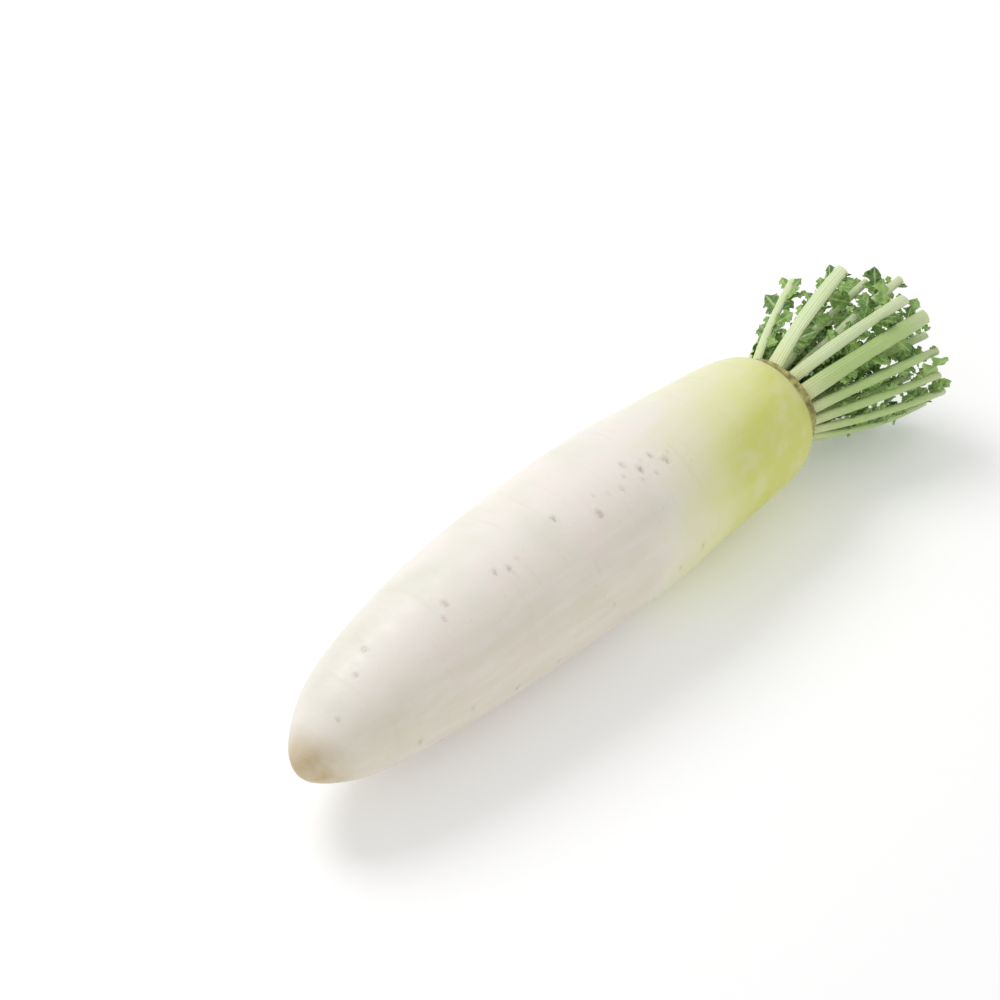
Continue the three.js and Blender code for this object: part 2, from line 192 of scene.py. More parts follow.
# Leaflets
LEAFLET_FROM = 0.3
LEAFLET_TO = 0.95
LEAFLET_LENGTH = (9, 17)
LEAFLET_VARIES = (0.8, 1.15)
LEAFLET_SPREAD = (30, 62)
LEAFLET_TILT = (-62, 12)
LEAFLET_ROLL = (-40, 40)
LEAFLET_JITTER = 0.7
SMALLEST_LEAFLET = 3
LEAFLET_WIDTH = 0.4
LEAFLET_SUNK = 1.1
LEAFLET_LOWERED = 0.15
SHORTENING = 0.93
PAST_CUT = 2
STALK_GAP = 0.8
STALK_TILT = 0.85
LEAF_GAP = 0.6
LEAF_GAP_SHARE = 0.12
FLOOR_GAP = 0.6
BOX_GAP = 0.5
# Share of the length, share of the half width, wave
LEAFLET_OUTLINE = [(0, 0, 0), (0.38, 0.95, 1), (0.5, 0.5, -0.6), (0.76, 0.85, 0.8), (1, 0, 0)]
LEAFLET_FOLD = 0.25
LEAFLET_WAVE = 0.06
LEAFLET_CURL = 0.14
NARROWEST = 0.035
# Steps along and across a leaflet
FINE_BLADE = (24, 8)
SMALL_BLADE = (14, 4)
CRISP_UP_TO = 6
CRISPS = 28
CRISP_SEED = 201
CRISP_ALONG = (0.25, 0.97)
CRISP_LENGTH = (3.2, 8.5)
CRISP_SPREAD = (30, 70)
CRISP_TILT = (-70, 30)
CRISP_ROLL = (-50, 50)
SMALLEST_CRISP = 2.2
TEETH = 8
TOOTH_DEPTH = 0.13
RUFFLE = 0.035
RUFFLES = 3.5
RIB_THICK = 0.42
EDGE_THICK = 0.16
TONE_SEED = 901


def draws(seed):
    """Repeatable random draws from 0 to 1, the same as the solids use."""
    state = (seed * 7919 + 13) % 2147483647
    while True:
        state = (state * 16807) % 2147483647
        yield state / 2147483647


def mix(a, b, share):
    return a + (b - a) * share


def smooth(low, high, value):
    share = np.clip((value - low) / (high - low), 0, 1)
    return share * share * (3 - 2 * share)


# Shape rules that the solids follow too
def curve_point(before, start, end, after, t):
    v0 = (end - before) / 2
    v1 = (after - start) / 2
    rise = end - start
    return start + v0 * t + (3 * rise - 2 * v0 - v1) * t**2 + (v0 + v1 - 2 * rise) * t**3


def outline_rows():
    """(distance from the tip, radius, share of the collar's top) of each ring of the skin."""
    named = np.array(ROOT_OUTLINE, float)
    last = len(named) - 1
    rows = []
    for i in range(last):
        before, after = named[max(i - 1, 0)], named[min(i + 2, last)]
        steps = max(4, round(np.linalg.norm(named[i + 1] - named[i]) / ROW_SPACING))
        for k in range(steps):
            rows.append(curve_point(before, named[i], named[i + 1], after, k / steps))
    rows = [(*row, 0) for row in rows]
    crown = np.array([(*named[last], 0), *CROWN_OUTLINE], float)
    for start, end in zip(crown[:-1], crown[1:]):
        steps = max(2, round(np.linalg.norm(end[:2] - start[:2]) / CROWN_ROW_SPACING))
        rows += [mix(start, end, k / steps) for k in range(steps)]
    rows.append(crown[-1])
    return np.array(rows)


def axis_y(from_tip):
    u = np.asarray(from_tip, float) / ROOT_LENGTH
    at_rest = BOW * math.sin(math.pi * (REST_FROM_TIP / ROOT_LENGTH) ** BOW_BIAS)
    bend = BOW * np.sin(math.pi * np.clip(u, 0, 1) ** BOW_BIAS)
    straight_on = -BOW * math.pi * BOW_BIAS * np.maximum(u - 1, 0)
    return bend + straight_on - at_rest


def axis_z(from_tip):
    left = np.maximum(0, 1 - np.asarray(from_tip, float) / ROOT_LENGTH / DROOP_UNTIL)
    return AXIS_HEIGHT - TIP_DROOP * left**2


def make_stalks():
    stalks = []
    for index, (whorl, turn, length, stout, lean, opens, bow) in enumerate(STALKS):
        random = draws(index + STALK_SEED)
        stalk = dict(whorl, turn=turn, length=length, lean=lean, opens=opens, bow=bow, seed=index)
        stalk["base"] = whorl["base"] * stout
        stalk["tip"] = whorl["tip"] * stout
        stalk["sway"] = SWAY * (2 * next(random) - 1)
        stalk["slant"] = CUT_SLANT * (2 * next(random) - 1)
        stalk["placed"] = leaflets_of(stalk, random)
        stalks.append(stalk)
    return stalks


def stalk_turn(stalk, height):
    return np.radians(stalk["turn"] + FAN_SWIRL * (height / FULL_REACH))


def stalk_centre(stalk, height):
    """The centre line of a stalk. The stalk's values can be columns, for many stalks at once."""
    height = np.asarray(height, float)
    turn = stalk_turn(stalk, height)
    one_side = FAN_FLARE_SIDE * np.cos(turn - math.radians(FAN_SIDE_TURN))
    both_sides = FAN_FLARE_PAIR * np.cos(2 * (turn - math.radians(FAN_PAIR_TURN)))
    flare = FAN_FLARE + one_side + both_sides
    spread = flare * (1 - np.exp(-height / FLARE_LENGTH)) + FAN_SPREAD * height
    bow = stalk["bow"] * np.sin(np.minimum(height / stalk["length"], 1) * math.pi)
    reach = stalk["radius"] * (1 + stalk["opens"] * spread / FAN_RADIUS) + bow
    off = stalk["sway"] * (1 - np.exp(-height / SWAY_LENGTH))
    off = off + stalk["lean"] * (height / FULL_REACH)
    side = reach * np.cos(turn) - off * np.sin(turn)
    rise = reach * np.sin(turn) + off * np.cos(turn)
    from_tip = CROWN_X + height
    return np.stack([
        from_tip - REST_FROM_TIP,
        axis_y(from_tip) + side,
        axis_z(from_tip) + np.where(rise < 0, rise * UNDERSIDE_SQUEEZE, rise),
    ], -1)


def stalk_directions(stalk, height):
    turn = stalk_turn(stalk, height)
    along = stalk_centre(stalk, height + 0.5) - stalk_centre(stalk, height - 0.5)
    out = np.array([0, math.cos(turn), math.sin(turn)])
    side = np.array([0, -math.sin(turn), math.cos(turn)])
    return along / np.linalg.norm(along), out, side


def stalk_width(stalk, height):
    slender = mix(stalk["tip"] + FOOT_WIDER, stalk["tip"], height / FULL_REACH)
    return slender + (stalk["base"] - slender) * np.exp(-height / BASE_TAPER)


def leaflets_of(stalk, random):
    leaflets = []
    for i in range(stalk["leaflets"]):
        share = (i + LEAFLET_JITTER * next(random)) / stalk["leaflets"]
        leaflets.append({
            "height": stalk["length"] * mix(LEAFLET_FROM, LEAFLET_TO, share),
            "hand": 1 if i % 2 == 0 else -1,
            "spread": math.radians(mix(*LEAFLET_SPREAD, next(random))),
            "tilt": math.radians(mix(*LEAFLET_TILT, next(random))),
            "roll": math.radians(mix(*LEAFLET_ROLL, next(random))),
            "size": mix(*LEAFLET_LENGTH, share) * mix(*LEAFLET_VARIES, next(random)),
        })
    return leaflets


def leaflet_frame(stalk, leaflet):
    """Where a leaflet starts, and its length, width and normal directions."""
    height, hand, tilt = leaflet["height"], leaflet["hand"], leaflet["tilt"]
    along, out, side = stalk_directions(stalk, height)
    start = stalk_centre(stalk, height)
    start = start + side * hand * (stalk_width(stalk, height) / 2 - LEAFLET_SUNK)
    start = start - out * LEAFLET_LOWERED * stalk["thickness"]
    sideways = side * hand * math.cos(tilt) + out * math.sin(tilt)
    length = along * math.cos(leaflet["spread"]) + sideways * math.sin(leaflet["spread"])
    length = length / np.linalg.norm(length)
    width = along - length * np.dot(along, length)
    width = width / np.linalg.norm(width)
    normal = np.cross(length, width)
    width = width * math.cos(leaflet["roll"]) + normal * math.sin(leaflet["roll"])
    return start, length, width, np.cross(length, width)


def outline_at(share):
    rows = np.array(LEAFLET_OUTLINE)
    return np.interp(share, rows[:, 0], rows[:, 1]), np.interp(share, rows[:, 0], rows[:, 2])


def leaflet_samples(leaf_frame, size):
    """Points spread over a leaflet, to measure the room it has."""
    start, length, width, normal = leaf_frame
    samples = []
    for row in range(1, 8):
        half, wave = outline_at(row / 7)
        for hand in (-1, -0.5, 0, 0.5, 1):
            reach = abs(hand) * half
            lift = reach * LEAFLET_FOLD * LEAFLET_WIDTH - hand * wave * LEAFLET_WAVE
            lift -= LEAFLET_CURL * (row / 7) ** 2
            across = LEAFLET_WIDTH * reach * np.sign(hand)
            samples.append(start + size * (length * row / 7 + width * across + normal * lift))
    return np.array(samples)


def clear_of_stalks(others, samples):
    height = samples[None, :, 0] + REST_FROM_TIP - CROWN_X
    above = np.maximum(height, 0)
    centre = stalk_centre(others, above + 0 * others["turn"])
    gap = np.linalg.norm(centre - samples, axis=2) * STALK_TILT
    clear = gap > stalk_width(others, above) / 2 + STALK_GAP
    return np.all(clear | (height > others["length"] + STALK_GAP))


def clear_of_leaflets(grown, stalk, samples, size):
    middle = samples.mean(0)
    for leaf in grown:
        if leaf["seed"] == stalk["seed"]:
            continue
        if math.dist(leaf["middle"], middle) > leaf["size"] + size:
            continue
        gap = LEAF_GAP + LEAF_GAP_SHARE * (leaf["size"] + size)
        if np.linalg.norm(leaf["samples"][:, None] - samples, axis=2).min() <= gap:
            return False
    return True


def inside(box, samples):
    """True if the points lie well within a box given by its low and high corner in metres."""
    low, high = np.array(box) / MM
    return np.all(samples > low + BOX_GAP) and np.all(samples < high - BOX_GAP)


def has_room(stalk, others, grown, samples, size):
    highest = stalk["length"] + PAST_CUT + CROWN_X - REST_FROM_TIP
    if samples[:, 2].min() <= FLOOR_GAP or samples[:, 0].max() >= highest:
        return False
    return clear_of_stalks(others, samples) and clear_of_leaflets(grown, stalk, samples, size)


def all_but(stalks, stalk):
    """The values of the other stalks as columns."""
    others = [other for other in stalks if other is not stalk]
    keys = ("turn", "length", "radius", "base", "tip", "bow", "opens", "sway", "lean")
    return {key: np.array([[float(other[key])] for other in others]) for key in keys}


def grow(stalks, wanted, grown, smallest, box=None):
    """Shortens each wanted leaflet until it has room, and adds it to those grown already.

    With a box, those that reach out of it are left out."""
    for stalk in stalks:
        others = all_but(stalks, stalk)
        for leaflet in wanted(stalk):
            leaf_frame = leaflet_frame(stalk, leaflet)
            size = leaflet["size"]
            samples = leaflet_samples(leaf_frame, size)
            while size > smallest and not has_room(stalk, others, grown, samples, size):
                size *= SHORTENING
                samples = leaflet_samples(leaf_frame, size)
            if size > smallest and (box is None or inside(box, samples)):
                grown.append({
                    "seed": stalk["seed"], "frame": leaf_frame, "size": size,
                    "samples": samples, "middle": samples.mean(0), "height": leaflet["height"],
                })
    return grown


# Meshes
def add_mesh(name, points, faces, materials, face_material, values, sharp_degrees):
    """An object from points in millimetres, with a named number for each point."""
    mesh = bpy.data.meshes.new(name)
    mesh.from_pydata((np.asarray(points) * MM).tolist(), [], faces)
    for material in materials:
        mesh.materials.append(material)
    mesh.polygons.foreach_set("material_index", face_material)
    for key, numbers in values.items():
        made = mesh.attributes.new(key, "FLOAT", "POINT")
        made.data.foreach_set("value", np.asarray(numbers, np.float32))
    mesh.shade_smooth()
    mesh.set_sharp_from_angle(angle=math.radians(sharp_degrees))
    mesh.validate()
    mesh.update()
    piece = bpy.data.objects.new(name, mesh)
    bpy.context.collection.objects.link(piece)
    return piece


def tube_faces(rows, sides):
    """Faces through rings of points, closed by a centre point at each end."""
    faces = []
    for i in range(rows - 1):
        for k in range(sides):
            a, b = i * sides + k, i * sides + (k + 1) % sides
            faces.append((a, a + sides, b + sides, b))
    first, last, end = rows * sides, rows * sides + 1, (rows - 1) * sides
    faces += [(first, k, (k + 1) % sides) for k in range(sides)]
    faces += [(last, end + (k + 1) % sides, end + k) for k in range(sides)]
    return faces


# Root skin
def all_pits():
    """The pits that the photo shows, and others by rule down the sides it doesn't."""
    random = draws(FAR_PIT_SEED)
    pits = list(PITS)
    for i in range(FAR_PITS):
        from_tip = mix(*FAR_PIT_REACH, (i + 2.4 * next(random)) / (FAR_PITS + 1.4))
        row_turn = FAR_PIT_TURNS[i % len(FAR_PIT_TURNS)]
        turn = row_turn + mix(-FAR_PIT_SCATTER, FAR_PIT_SCATTER, next(random))
        width = mix(*FAR_PIT_WIDTH, next(random))
        pits.append((from_tip, turn, width, mix(*FAR_PIT_DEPTH, next(random))))
    return pits


def pit_marks(from_tip, radius, turn):
    """How deep each point of the skin lies in a pit, and how strong its scar is."""
    depth = np.zeros(np.broadcast(from_tip, turn).shape)
    scar = np.zeros_like(depth)
    for at, degrees, width, deep in all_pits():
        along = (from_tip - at) / (PIT_ALONG * width)
        swing = np.angle(np.exp(1j * (turn - math.radians(degrees))))
        around = radius * swing / (PIT_AROUND * width)
        off = along**2 + around**2
        lip = PIT_LIP_HEIGHT * np.exp(-((np.sqrt(off) - PIT_LIP_AT) ** 2) * PIT_LIP_SHARPNESS)
        depth += deep * (np.exp(-off) - lip)
        scar = np.maximum(scar, (0.4 + deep) * np.exp(-SCAR_FADE * off))
    return depth, np.clip(scar, 0, 1)


def faint_rings(from_tip, turn):
    """Shallow creases that run part of the way round the root."""
    total = 0
    for pitch, twist, phase in RINGS:
        crease = np.cos(2 * math.pi * from_tip / pitch + 0.7 * np.sin(twist * turn + phase))
        held = np.clip(np.sin(turn * twist + from_tip / 19 + phase), 0, 1) ** 2
        total = total - held * np.clip(crease, 0, 1) ** 6
    return RING_DEPTH * total


def green_share(from_tip, turn):
    """How green the skin is, from 0 at the end of the white to 1 at the full green."""
    lit_side = np.cos(turn - math.radians(LIT_SIDE_TURN))
    wander = 4 * np.sin(3 * turn + 0.6) + 3 * np.sin(7 * turn + 2.2) + 2 * np.sin(12 * turn)
    # Over the lit side the green is drawn out longer, so it stays paler: painted highlight
    length = GREEN_LENGTH + PAINTED_HIGHLIGHT_LONGER * np.maximum(0, lit_side)
    return (from_tip + wander - LIT_SIDE_LATER * lit_side - GREEN_FROM) / length


def collar_top(turn):
    facing = np.maximum(0, np.cos(turn - math.radians(COLLAR_RISE_TURN)))
    ragged = np.sin(5 * turn + 1) + 0.6 * np.sin(7 * turn)
    torn = 0.5 * np.sin(23 * turn) * np.sin(9 * turn + 2) + 0.3 * np.sin(41 * turn + 1)
    return COLLAR_RISE * facing**2 + COLLAR_RAGGED * (ragged + torn)


def root_points(from_tip, radius, collar_share, turn, pit_depth):
    lumps = LUMP_2 * np.sin(2 * turn + from_tip / 50) + LUMP_3 * np.sin(3 * turn - from_tip / 35)
    on_skin = smooth(3, 12, from_tip) * (1 - smooth(284, 296, from_tip))
    shoulder_ribs = SHOULDER_RIB * np.abs(np.sin(31 * turn + 2 * np.sin(5 * turn)))
    shoulder_ribs = shoulder_ribs * smooth(286, 299, from_tip)
    collar_ribs = COLLAR_RIB * np.abs(np.sin(26 * turn + 3 * np.sin(4 * turn))) * collar_share
    reach = radius * (1 + lumps) - pit_depth + on_skin * faint_rings(from_tip, turn)
    reach = reach - (shoulder_ribs + collar_ribs) * (radius > CROWN_DISC)
    shown_at = from_tip + collar_share * collar_top(turn)
    return np.stack([
        shown_at - REST_FROM_TIP + 0 * reach,
        axis_y(shown_at) + reach * np.cos(turn),
        np.maximum(0, axis_z(shown_at) + reach * np.sin(turn)),
    ], -1)


def root_values(from_tip, turn, scar):
    """How far each marking shows at each point of the skin."""
    edge_at = from_tip + 0.8 * np.sin(9 * turn) + 0.5 * np.sin(17 * turn)
    browned_edge = 0.5 * smooth(297.2, 300.6, edge_at)
    on_collar = smooth(300.2, 301.2, from_tip)
    stain_at = from_tip + STAIN_SKEW * np.cos(turn - STAIN_SKEW_TURN)
    return {
        "green": green_share(from_tip, turn),
        "scar": scar,
        # Beige underside: partly earth colour, partly painted warm reflection from below
        "underside_tint_and_reflection": smooth(-0.3, 0.9, np.cos(turn - math.radians(UNDERSIDE_TURN))),
        "tip_stain": 1 - smooth(*STAIN_REACH, stain_at),
        # Collar colour: old leaf scars, partly painted shade at the stalk bases
        "collar_scars_and_shade": np.maximum(browned_edge, on_collar),
    }


def root_mesh(material):
    rows = outline_rows()
    from_tip, radius, collar_share = rows[:, :1], rows[:, 1:2], rows[:, 2:]
    turn = (np.arange(ROOT_SIDES) * 2 * math.pi / ROOT_SIDES)[None, :]
    pit_depth, scar = pit_marks(from_tip, radius, turn)
    points = root_points(from_tip, radius, collar_share, turn, pit_depth)
    flat = np.vstack([points.reshape(-1, 3), points[0].mean(0), points[-1].mean(0)])
    values = {}
    for key, numbers in root_values(from_tip, turn, scar).items():
        full = (numbers + np.zeros_like(scar)).reshape(-1)
        values[key] = np.append(full, [full[0], full[-1]])
    faces = tube_faces(len(rows), ROOT_SIDES)
    return add_mesh("root_skin", flat, faces, [material], [0] * len(faces), values, ROOT_SHARP)


# Leaf stalks
def stem_rings(stalk):
    """(height, share of the stem's width, depth below the cut) of each ring. The cut is last."""
    shares = [(i / STEM_STEPS) ** STEM_CROWDING for i in range(STEM_STEPS + 1)]
    rings = [(mix(BASE_GAP, stalk["length"], share), 1.0, 0.0) for share in shares]
    top = rings[-1][0]
    rings[-1] = (top, CUT_RIM, 0.0)
    return rings + [(top, share, depth) for share, depth in CUT_PROFILE]


def stem_parts(stalk):
    """Points, faces, materials and values of a bare stem with its cut end."""
    rings = stem_rings(stalk)
    top = rings[-1][0]
    turn = np.arange(STEM_SIDES) * 2 * math.pi / STEM_SIDES
    inner = GROOVE + (HORNS - GROOVE) * smooth(0, 0.8, np.abs(np.cos(turn)))
    shape = np.where(np.sin(turn) < 0, inner, 1.0)
    phase = stalk["seed"] * 1.7
    points, values = [], {"up_stalk": [], "around": [], "cut": []}
    for height, share, depth in rings:
        centre = stalk_centre(stalk, height)
        _, out, side = stalk_directions(stalk, height)
        at_cut = height == top
        ribs = 1 - RIB_DEPTH * (0.5 + 0.5 * np.cos(RIBS * turn + phase)) * smooth(2, 8, height)
        swell = 1 + STEM_SWELL * math.sin(height / 6.1 + phase)
        across = np.cos(turn) * stalk_width(stalk, height) / 2 * share * swell
        thick = np.sin(turn) * stalk["thickness"] / 2 * shape * share * ribs * swell
        ring = centre + np.outer(across, side) + np.outer(thick, out)
        ring[:, 0] += stalk["slant"] * across * at_cut - depth
        points.append(ring)
        values["up_stalk"].append(np.full(STEM_SIDES, height / stalk["length"]))
        values["around"].append(turn / (2 * math.pi))
        values["cut"].append(np.full(STEM_SIDES, 1 - share if at_cut else 0))
    flat = np.vstack([*points, points[0].mean(0), points[-1].mean(0)])
    for key, numbers in values.items():
        whole = np.concatenate(numbers)
        values[key] = np.append(whole, [whole[0], whole[-1]])
    faces = tube_faces(len(rings), STEM_SIDES)
    cut_from = STEM_STEPS * STEM_SIDES
    cut_faces = (len(rings) - 1) * STEM_SIDES - cut_from
    slots = [STEM_SLOT] * cut_from + [CUT_SLOT] * cut_faces
    slots += [STEM_SLOT] * STEM_SIDES + [CUT_SLOT] * STEM_SIDES
    return flat, faces, slots, values


def eased(outline, share, column):
    """A value of the leaflet's outline at a share of its length, eased between its points."""
    shares = [point[0] for point in outline]
    k = min(max(int(np.searchsorted(shares, share)) - 1, 0), len(outline) - 2)
    step = (share - shares[k]) / (shares[k + 1] - shares[k])
    if 0 < k < len(outline) - 2:
        step = step * step * (3 - 2 * step)
    return mix(outline[k][column], outline[k + 1][column], step)


def blade_faces(steps, across_steps):
    """Faces of the two sides of a leaflet and of the edge between them."""
    per_row, rows = across_steps + 1, steps + 1
    under = rows * per_row
    faces = []
    for i in range(steps):
        for j in range(across_steps):
            a = i * per_row + j
            faces.append((a, a + 1, a + per_row + 1, a + per_row))
            faces.append((a + under, a + under + per_row, a + under + per_row + 1, a + under + 1))
    edge = [i * per_row for i in range(rows)]
    edge += [under - per_row + j for j in range(1, per_row)]
    edge += [i * per_row + across_steps for i in range(steps - 1, -1, -1)]
    edge += [j for j in range(across_steps - 1, 0, -1)]
    for a, b in zip(edge, edge[1:] + edge[:1]):
        faces.append((a, b, b + under, a + under))
    return faces


def blade_parts(blade_frame, size, phase, steps, across_steps):
    """Points, faces and values of one leaflet, toothed and ruffled."""
    start, length, width, normal = blade_frame
    upper, lower, rib, along = [], [], [], []
    for i in range(steps + 1):
        share = i / steps
        half = max(eased(LEAFLET_OUTLINE, share, 1), NARROWEST)
        half = half * (1 + TOOTH_DEPTH * math.sin(2 * math.pi * TEETH * share + phase))
        wave = eased(LEAFLET_OUTLINE, share, 2)
        for j in range(across_steps + 1):
            v = 2 * j / across_steps - 1
            lift = abs(v) * half * LEAFLET_FOLD * LEAFLET_WIDTH - v * wave * LEAFLET_WAVE
            ruffle = math.sin(2 * math.pi * RUFFLES * share + phase * 2 + v)
            lift += RUFFLE * v * abs(v) * ruffle
            lift -= LEAFLET_CURL * share**2
            middle = length * share + width * LEAFLET_WIDTH * half * v + normal * lift
            at = start + size * middle
            thick = normal * mix(RIB_THICK, EDGE_THICK, abs(v) ** 0.6) * mix(1, 0.6, share)
            upper.append(at + thick)
            lower.append(at - thick)
            rib.append(abs(v))
            along.append(share)
    return np.array(upper + lower), blade_faces(steps, across_steps), rib * 2, along * 2


def crisps_of(stalk):
    """Small leaflets beside those of the solids. They fill what room is left along a stalk."""
    random = draws(stalk["seed"] + CRISP_SEED)
    crisps = []
    for i in range(CRISPS):
        share = (i + next(random)) / CRISPS
        crisps.append({
            "height": stalk["length"] * mix(*CRISP_ALONG, share),
            "hand": 1 if next(random) > 0.5 else -1,
            "spread": math.radians(mix(*CRISP_SPREAD, next(random))),
            "tilt": math.radians(mix(*CRISP_TILT, next(random))),
            "roll": math.radians(mix(*CRISP_ROLL, next(random))),
            "size": mix(*CRISP_LENGTH, next(random)),
        })
    return crisps


def stalk_mesh(index, stalk, leaves, materials):
    """One leafy stalk: its stem with all its leaflets, as one mesh."""
    stem, faces, slots, values = stem_parts(stalk)
    points = [stem]
    values = {key: [numbers] for key, numbers in values.items()}
    values["rib"] = [np.zeros(len(stem))]
    values["along_leaf"] = [np.zeros(len(stem))]
    count = len(stem)
    for number, leaf in enumerate(leaves):
        steps = FINE_BLADE if leaf["size"] > CRISP_UP_TO else SMALL_BLADE
        phase = index * 1.3 + number * 2.1
        made, made_faces, rib, along = blade_parts(leaf["frame"], leaf["size"], phase, *steps)
        points.append(made)
        faces += [tuple(corner + count for corner in face) for face in made_faces]
        slots += [LEAF_SLOT] * len(made_faces)
        values["up_stalk"].append(np.full(len(made), leaf["height"] / stalk["length"]))
        values["around"].append(np.full(len(made), (number * 0.37) % 1))
        values["cut"].append(np.zeros(len(made)))
        values["rib"].append(rib)
        values["along_leaf"].append(along)
        count += len(made)
    values["tone"] = [np.full(count, next(draws(index + TONE_SEED)))]
    values = {key: np.concatenate(numbers) for key, numbers in values.items()}
    name = f"leafy_stalk_{index + 1:02d}"
    return add_mesh(name, np.vstack(points), faces, materials, slots, values, STALK_SHARP)


# Materials
def linear(red, green, blue):
    """A screen colour from 0 to 255 as the linear colour that shaders use."""
    def one(level):
        share = level / 255
        return share / 12.92 if share <= 0.04045 else ((share + 0.055) / 1.055) ** 2.4
    return one(red), one(green), one(blue), 1.0


class Nodes:
    """Short names for the nodes of one material."""

    def __init__(self, name):
        self.material = bpy.data.materials.new(name)
        self.material.use_nodes = True
        self.tree = self.material.node_tree
        self.shader = self.tree.nodes["Principled BSDF"]
        place = self.tree.nodes.new("ShaderNodeTexCoord")
        self.place = place.outputs["Object"]

    def link(self, source, target):
        self.tree.links.new(source, target)

    def value(self, name):
        node = self.tree.nodes.new("ShaderNodeAttribute")
        node.attribute_name = name
        return node.outputs["Fac"]

    def stretched(self, x, y, z):
        node = self.tree.nodes.new("ShaderNodeMapping")
        node.inputs["Scale"].default_value = (x, y, z)
        self.link(self.place, node.inputs["Vector"])
        return node.outputs["Vector"]

    def noise(self, scale, detail=3.0, vector=None):
        node = self.tree.nodes.new("ShaderNodeTexNoise")
        node.inputs["Scale"].default_value = scale
        node.inputs["Detail"].default_value = detail
        self.link(vector or self.place, node.inputs["Vector"])
        return node.outputs["Fac"]

    def math(self, operation, a, b):
        node = self.tree.nodes.new("ShaderNodeMath")
        node.operation = operation
        for socket, given in zip(node.inputs, (a, b)):
            if isinstance(given, (int, float)):
                socket.default_value = given
            else:
                self.link(given, socket)
        return node.outputs["Value"]

    def swing(self, source, reach):
        """A number about 0.5 as a swing to both sides of 0."""
        return self.math("MULTIPLY", self.math("SUBTRACT", source, 0.5), reach)

    def between(self, source, low, high, to_low=0.0, to_high=1.0):
        """The number as an eased share between low and high, from to_low to to_high."""
        node = self.tree.nodes.new("ShaderNodeMapRange")
        node.interpolation_type = "SMOOTHSTEP"
        numbers = {"From Min": low, "From Max": high, "To Min": to_low, "To Max": to_high}
        for key, number in numbers.items():
            node.inputs[key].default_value = number
        self.link(source, node.inputs["Value"])
        return node.outputs["Result"]

    def blend(self, share, first, second):
        node = self.tree.nodes.new("ShaderNodeMix")
        node.data_type = "RGBA"
        self.link(share, node.inputs["Factor"])
        sockets = [s for s in node.inputs if s.type == "RGBA"]
        for socket, given in zip(sockets, (first, second)):
            if isinstance(given, tuple):
                socket.default_value = given
            else:
                self.link(given, socket)
        return [s for s in node.outputs if s.type == "RGBA"][0]

    def ramp(self, share, *stops):
        node = self.tree.nodes.new("ShaderNodeValToRGB")
        elements = node.color_ramp.elements
        while len(elements) < len(stops):
            elements.new(0.5)
        for element, (position, colour) in zip(elements, stops):
            element.position = position
            element.color = colour
        self.link(share, node.inputs["Fac"])
        return node.outputs["Color"]

    def bump(self, height, distance, strength=1.0, under=None):
        node = self.tree.nodes.new("ShaderNodeBump")
        node.inputs["Distance"].default_value = distance
        node.inputs["Strength"].default_value = strength
        self.link(height, node.inputs["Height"])
        if under is not None:
            self.link(under, node.inputs["Normal"])
        return node.outputs["Normal"]

    def finish(self, colour, roughness, normal, subsurface, radius, specular=0.5):
        inputs = self.shader.inputs
        self.link(colour, inputs["Base Color"])
        self.link(roughness, inputs["Roughness"])
        self.link(normal, inputs["Normal"])
        inputs["Subsurface Weight"].default_value = subsurface
        inputs["Subsurface Radius"].default_value = radius
        inputs["Subsurface Scale"].default_value = MM
        inputs["Specular IOR Level"].default_value = specular
        return self.material


def skin_colours(n, blotch, streak):
    """The white skin, with a beige underside that is partly earth colour and partly painted warm
    reflection, passing into the green of the shoulder.
    """
    white = n.ramp(
        blotch,
        (0.3, linear(227, 225, 212)),
        (0.5, linear(236, 231, 222)),
        (0.7, linear(242, 230, 225)),
    )
    # Beige on the underside: partly earth colour, partly painted warm reflection
    underside_tint_and_reflection = n.math("MULTIPLY", n.value("underside_tint_and_reflection"), n.between(streak, 0.3, 0.6, 0.3, 0.6))
    white = n.blend(underside_tint_and_reflection, white, linear(223, 213, 191))
    green_at = n.math("ADD", n.value("green"), n.swing(blotch, 0.55))
    green_at = n.math("ADD", green_at, n.swing(streak, 0.22))
    green = n.ramp(
        green_at,
        (0.0, linear(235, 231, 220)),
        (0.28, linear(231, 229, 197)),
        (0.62, linear(226, 227, 163)),
        (1.0, linear(212, 215, 116)),
    )
    pale_fleck = n.between(n.noise(75, 5), 0.42, 0.72, 0, 0.34)
    green = n.blend(pale_fleck, green, linear(233, 230, 198))
    return n.blend(n.between(green_at, -0.12, 0.2), white, green)


